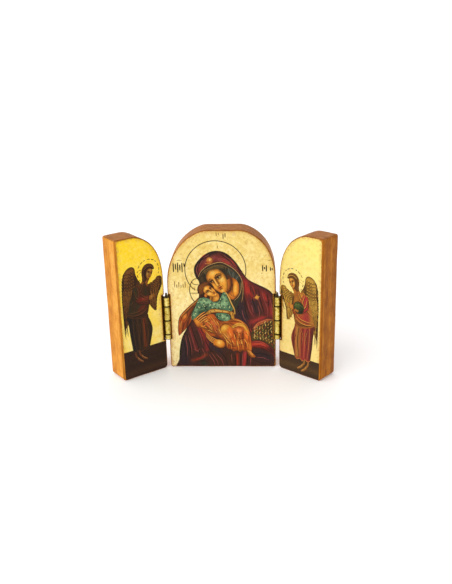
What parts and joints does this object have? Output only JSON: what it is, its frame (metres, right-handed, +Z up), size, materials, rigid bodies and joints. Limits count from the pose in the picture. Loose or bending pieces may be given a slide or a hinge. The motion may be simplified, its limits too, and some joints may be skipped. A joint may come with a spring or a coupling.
{
  "type": "triptych altarpiece",
  "caption": "Small painted and gilded wooden triptych: an arched centre board with half-arched wings that fold shut over it on brass hinges.",
  "frame": {"origin": "middle of the centre board's underside, on the surface it stands on", "axes": "+X to the viewer's right along the centre board, +Y from the painted front to the back, +Z up"},
  "size_m": [0.1378, 0.0353, 0.09],
  "materials": {
    "stained_wood": "orange-brown stain with a thin satin varnish, rubbed lighter along the edges; the fronts are gilded and painted over gesso",
    "hinge_brass": "pale brass plate, dulled, darker in the recesses",
    "pin_steel": "dark oxidised steel"
  },
  "bodies": {
    "centre": {"centre_board": "stained_wood", "left_hinge_centre_leaf": "hinge_brass", "left_hinge_centre_nail_1": "hinge_brass", "left_hinge_centre_nail_2": "hinge_brass", "left_hinge_pin": "pin_steel", "right_hinge_centre_leaf": "hinge_brass", "right_hinge_centre_nail_1": "hinge_brass", "right_hinge_centre_nail_2": "hinge_brass", "right_hinge_pin": "pin_steel"},
    "left_wing": {"left_wing_board": "stained_wood", "left_hinge_wing_leaf": "hinge_brass", "left_hinge_wing_nail_1": "hinge_brass", "left_hinge_wing_nail_2": "hinge_brass"},
    "right_wing": {"right_wing_board": "stained_wood", "right_hinge_wing_leaf": "hinge_brass", "right_hinge_wing_nail_1": "hinge_brass", "right_hinge_wing_nail_2": "hinge_brass"}
  },
  "joints": [
    {"name": "left_wing_hinge", "type": "hinge", "parent": "centre", "child": "left_wing", "pos_m": [-0.03405, -0.008, 0.0338], "axis": [0, 0, 1], "range_deg": [-39, 141]},
    {"name": "right_wing_hinge", "type": "hinge", "parent": "centre", "child": "right_wing", "pos_m": [0.03405, -0.008, 0.0338], "axis": [0, 0, -1], "range_deg": [-39, 141]}
  ]
}
